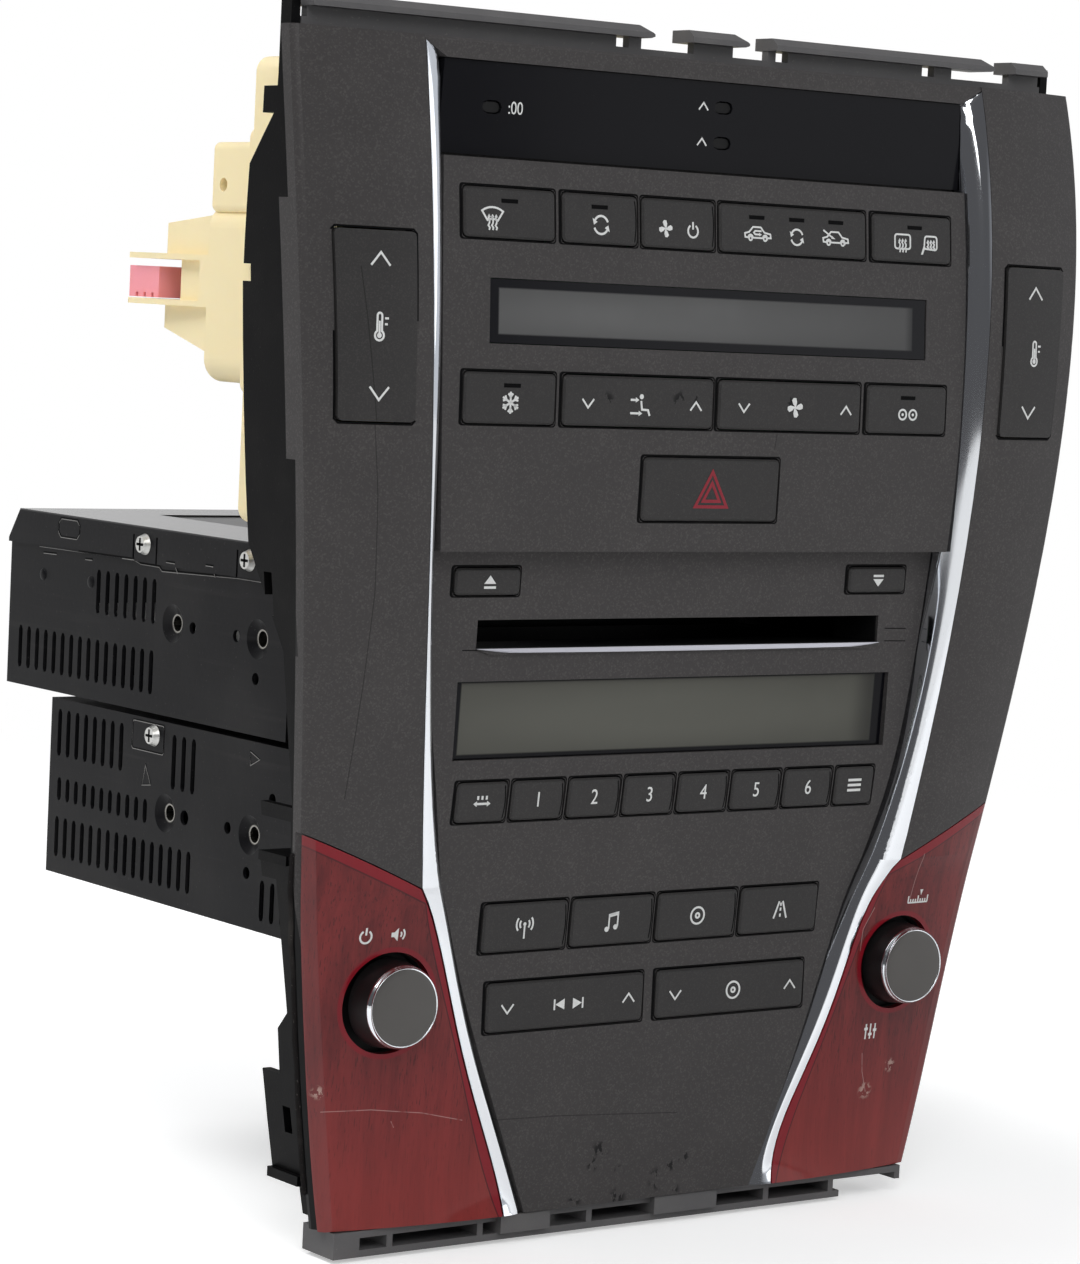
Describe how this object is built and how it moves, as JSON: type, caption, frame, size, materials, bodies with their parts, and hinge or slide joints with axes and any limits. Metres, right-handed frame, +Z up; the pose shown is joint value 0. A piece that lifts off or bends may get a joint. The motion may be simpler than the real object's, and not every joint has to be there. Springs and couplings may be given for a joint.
{
  "type": "car stereo head unit",
  "caption": "Car stereo head unit: disc changer and tuner cases behind a tall dashboard panel with keys, rockers, knobs, displays and climate controls.",
  "frame": {"origin": "centre of the dashboard aperture: on the symmetry plane, at the joint line of the two cases, level with the front of the radio face there", "axes": "+X to the right of someone facing the panel, +Y into the dashboard, +Z up"},
  "size_m": [0.2544, 0.2053, 0.311],
  "materials": {
    "fascia_paint": "satin dark warm grey metallic paint on a plastic moulding",
    "chrome": "bright chrome plating",
    "wood": "red-brown wood grain under gloss lacquer",
    "smoked_window": "near-black gloss window",
    "pusher": "black rubberised caps",
    "climate_glass": "grey liquid crystal pane",
    "radio_glass": "olive grey display pane",
    "knob": "dark satin grip with a grey cap and bright ring",
    "shaft": "turned steel",
    "black_sheet": "semi-gloss black sheet steel",
    "zinc": "zinc-plated steel",
    "black_plastic": "black moulded plastic",
    "cream_plastic": "cream moulded plastic",
    "pink_plastic": "pink moulded plastic",
    "board": "green circuit board laminate",
    "rubber": "black rubber roller"
  },
  "bodies": {
    "chassis": {"fascia_bezel": "fascia_paint", "chrome_strip_left": "chrome", "chrome_strip_right": "chrome", "wood_panel_left": "wood", "wood_panel_right": "wood", "climate_face": "fascia_paint", "clock_window": "smoked_window", "climate_display": "climate_glass", "radio_face": "fascia_paint", "radio_display": "radio_glass", "changer_case": "black_sheet", "changer_cover": "black_sheet", "tuner_case": "black_sheet", "case_screws": "zinc", "side_rail_left": "black_plastic", "side_rail_right": "black_plastic", "clip_rail_top": "black_plastic", "clip_rail_bottom": "black_plastic", "climate_rear_cover": "cream_plastic", "connector_lock": "pink_plastic", "climate_board": "board", "radio_board": "board", "changer_deck": "zinc", "rear_sockets": "black_plastic"},
    "front_defrost_key": {"front_defrost_key": "fascia_paint"},
    "auto_key": {"auto_key": "fascia_paint"},
    "fan_off_key": {"fan_off_key": "fascia_paint"},
    "recirculation_key": {"recirculation_key": "fascia_paint"},
    "rear_defrost_key": {"rear_defrost_key": "fascia_paint"},
    "cooling_key": {"cooling_key": "fascia_paint"},
    "dual_key": {"dual_key": "fascia_paint"},
    "hazard_key": {"hazard_key": "fascia_paint"},
    "eject_key": {"eject_key": "fascia_paint"},
    "load_key": {"load_key": "fascia_paint"},
    "scan_key": {"scan_key": "fascia_paint"},
    "preset_key_1": {"preset_key_1": "fascia_paint"},
    "preset_key_2": {"preset_key_2": "fascia_paint"},
    "preset_key_3": {"preset_key_3": "fascia_paint"},
    "preset_key_4": {"preset_key_4": "fascia_paint"},
    "preset_key_5": {"preset_key_5": "fascia_paint"},
    "preset_key_6": {"preset_key_6": "fascia_paint"},
    "text_key": {"text_key": "fascia_paint"},
    "band_key_1": {"band_key_1": "fascia_paint"},
    "band_key_2": {"band_key_2": "fascia_paint"},
    "band_key_3": {"band_key_3": "fascia_paint"},
    "band_key_4": {"band_key_4": "fascia_paint"},
    "clock_set_pusher": {"clock_set_pusher": "pusher"},
    "hour_pusher": {"hour_pusher": "pusher"},
    "minute_pusher": {"minute_pusher": "pusher"},
    "mode_rocker": {"mode_rocker": "fascia_paint"},
    "fan_rocker": {"fan_rocker": "fascia_paint"},
    "seek_rocker": {"seek_rocker": "fascia_paint"},
    "type_rocker": {"type_rocker": "fascia_paint"},
    "temperature_rocker_left": {"temperature_rocker_left": "fascia_paint"},
    "temperature_rocker_right": {"temperature_rocker_right": "fascia_paint"},
    "volume_shaft": {"volume_shaft": "shaft"},
    "volume_knob": {"volume_knob": "knob"},
    "tuner_shaft": {"tuner_shaft": "shaft"},
    "tuner_knob": {"tuner_knob": "knob"},
    "feed_roller": {"feed_roller": "rubber"}
  },
  "joints": [
    {"name": "front_defrost_key_push", "type": "slide", "parent": "chassis", "child": "front_defrost_key", "axis": [0, 1, 0], "range_m": [0, 0.0012], "stiffness_N_per_m": 2000, "springref_m": -0.0004},
    {"name": "auto_key_push", "type": "slide", "parent": "chassis", "child": "auto_key", "axis": [0, 1, 0], "range_m": [0, 0.0012], "stiffness_N_per_m": 2000, "springref_m": -0.0004},
    {"name": "fan_off_key_push", "type": "slide", "parent": "chassis", "child": "fan_off_key", "axis": [0, 1, 0], "range_m": [0, 0.0012], "stiffness_N_per_m": 2000, "springref_m": -0.0004},
    {"name": "recirculation_key_push", "type": "slide", "parent": "chassis", "child": "recirculation_key", "axis": [0, 1, 0], "range_m": [0, 0.0012], "stiffness_N_per_m": 2000, "springref_m": -0.0004},
    {"name": "rear_defrost_key_push", "type": "slide", "parent": "chassis", "child": "rear_defrost_key", "axis": [0, 1, 0], "range_m": [0, 0.0012], "stiffness_N_per_m": 2000, "springref_m": -0.0004},
    {"name": "cooling_key_push", "type": "slide", "parent": "chassis", "child": "cooling_key", "axis": [0, 1, 0], "range_m": [0, 0.0012], "stiffness_N_per_m": 2000, "springref_m": -0.0004},
    {"name": "dual_key_push", "type": "slide", "parent": "chassis", "child": "dual_key", "axis": [0, 1, 0], "range_m": [0, 0.0012], "stiffness_N_per_m": 2000, "springref_m": -0.0004},
    {"name": "hazard_key_push", "type": "slide", "parent": "chassis", "child": "hazard_key", "axis": [0, 1, 0], "range_m": [0, 0.0012], "stiffness_N_per_m": 2000, "springref_m": -0.0004},
    {"name": "eject_key_push", "type": "slide", "parent": "chassis", "child": "eject_key", "axis": [0, 1, 0], "range_m": [0, 0.0012], "stiffness_N_per_m": 2000, "springref_m": -0.0004},
    {"name": "load_key_push", "type": "slide", "parent": "chassis", "child": "load_key", "axis": [0, 1, 0], "range_m": [0, 0.0012], "stiffness_N_per_m": 2000, "springref_m": -0.0004},
    {"name": "scan_key_push", "type": "slide", "parent": "chassis", "child": "scan_key", "axis": [0, 1, 0], "range_m": [0, 0.0012], "stiffness_N_per_m": 2000, "springref_m": -0.0004},
    {"name": "preset_key_1_push", "type": "slide", "parent": "chassis", "child": "preset_key_1", "axis": [0, 1, 0], "range_m": [0, 0.0012], "stiffness_N_per_m": 2000, "springref_m": -0.0004},
    {"name": "preset_key_2_push", "type": "slide", "parent": "chassis", "child": "preset_key_2", "axis": [0, 1, 0], "range_m": [0, 0.0012], "stiffness_N_per_m": 2000, "springref_m": -0.0004},
    {"name": "preset_key_3_push", "type": "slide", "parent": "chassis", "child": "preset_key_3", "axis": [0, 1, 0], "range_m": [0, 0.0012], "stiffness_N_per_m": 2000, "springref_m": -0.0004},
    {"name": "preset_key_4_push", "type": "slide", "parent": "chassis", "child": "preset_key_4", "axis": [0, 1, 0], "range_m": [0, 0.0012], "stiffness_N_per_m": 2000, "springref_m": -0.0004},
    {"name": "preset_key_5_push", "type": "slide", "parent": "chassis", "child": "preset_key_5", "axis": [0, 1, 0], "range_m": [0, 0.0012], "stiffness_N_per_m": 2000, "springref_m": -0.0004},
    {"name": "preset_key_6_push", "type": "slide", "parent": "chassis", "child": "preset_key_6", "axis": [0, 1, 0], "range_m": [0, 0.0012], "stiffness_N_per_m": 2000, "springref_m": -0.0004},
    {"name": "text_key_push", "type": "slide", "parent": "chassis", "child": "text_key", "axis": [0, 1, 0], "range_m": [0, 0.0012], "stiffness_N_per_m": 2000, "springref_m": -0.0004},
    {"name": "band_key_1_push", "type": "slide", "parent": "chassis", "child": "band_key_1", "axis": [0, 1, 0], "range_m": [0, 0.0012], "stiffness_N_per_m": 2000, "springref_m": -0.0004},
    {"name": "band_key_2_push", "type": "slide", "parent": "chassis", "child": "band_key_2", "axis": [0, 1, 0], "range_m": [0, 0.0012], "stiffness_N_per_m": 2000, "springref_m": -0.0004},
    {"name": "band_key_3_push", "type": "slide", "parent": "chassis", "child": "band_key_3", "axis": [0, 1, 0], "range_m": [0, 0.0012], "stiffness_N_per_m": 2000, "springref_m": -0.0004},
    {"name": "band_key_4_push", "type": "slide", "parent": "chassis", "child": "band_key_4", "axis": [0, 1, 0], "range_m": [0, 0.0012], "stiffness_N_per_m": 2000, "springref_m": -0.0004},
    {"name": "clock_set_pusher_push", "type": "slide", "parent": "chassis", "child": "clock_set_pusher", "axis": [0, 1, 0], "range_m": [0, 0.0012], "stiffness_N_per_m": 1200, "springref_m": -0.0004},
    {"name": "hour_pusher_push", "type": "slide", "parent": "chassis", "child": "hour_pusher", "axis": [0, 1, 0], "range_m": [0, 0.0012], "stiffness_N_per_m": 1200, "springref_m": -0.0004},
    {"name": "minute_pusher_push", "type": "slide", "parent": "chassis", "child": "minute_pusher", "axis": [0, 1, 0], "range_m": [0, 0.0012], "stiffness_N_per_m": 1200, "springref_m": -0.0004},
    {"name": "mode_rocker_tilt", "type": "hinge", "parent": "chassis", "child": "mode_rocker", "pos_m": [-0.0248, -0.00464, 0.09125], "axis": [0, 0, 1], "range_deg": [-2.5, 2.5], "stiffness_Nm_per_rad": 0.9},
    {"name": "fan_rocker_tilt", "type": "hinge", "parent": "chassis", "child": "fan_rocker", "pos_m": [0.0248, -0.00464, 0.09125], "axis": [0, 0, 1], "range_deg": [-2.5, 2.5], "stiffness_Nm_per_rad": 0.9},
    {"name": "seek_rocker_tilt", "type": "hinge", "parent": "chassis", "child": "seek_rocker", "pos_m": [-0.02735, 0.01004, -0.0639], "axis": [0, 0, 1], "range_deg": [-2.5, 2.5], "stiffness_Nm_per_rad": 0.9},
    {"name": "type_rocker_tilt", "type": "hinge", "parent": "chassis", "child": "type_rocker", "pos_m": [0.02735, 0.01004, -0.0639], "axis": [0, 0, 1], "range_deg": [-2.5, 2.5], "stiffness_Nm_per_rad": 0.9},
    {"name": "temperature_rocker_left_tilt", "type": "hinge", "parent": "chassis", "child": "temperature_rocker_left", "pos_m": [-0.10685, -0.00712, 0.10765], "axis": [1, 0, 0], "range_deg": [-2.5, 2.5], "stiffness_Nm_per_rad": 0.9},
    {"name": "temperature_rocker_right_tilt", "type": "hinge", "parent": "chassis", "child": "temperature_rocker_right", "pos_m": [0.10685, -0.00712, 0.10765], "axis": [1, 0, 0], "range_deg": [-2.5, 2.5], "stiffness_Nm_per_rad": 0.9},
    {"name": "volume_push", "type": "slide", "parent": "chassis", "child": "volume_shaft", "axis": [0, 1, 0], "range_m": [0, 0.0015], "stiffness_N_per_m": 3000, "springref_m": -0.0005},
    {"name": "volume_turn", "type": "hinge", "parent": "volume_shaft", "child": "volume_knob", "pos_m": [-0.084, 0, -0.0599], "axis": [0, 1, 0], "continuous": true},
    {"name": "tuner_push", "type": "slide", "parent": "chassis", "child": "tuner_shaft", "axis": [0, 1, 0], "range_m": [0, 0.0015], "stiffness_N_per_m": 3000, "springref_m": -0.0005},
    {"name": "tuner_turn", "type": "hinge", "parent": "tuner_shaft", "child": "tuner_knob", "pos_m": [0.084, 0, -0.0599], "axis": [0, 1, 0], "continuous": true},
    {"name": "feed_roller_turn", "type": "hinge", "parent": "chassis", "child": "feed_roller", "pos_m": [0, 0.058, 0.0292], "axis": [1, 0, 0], "continuous": true}
  ]
}
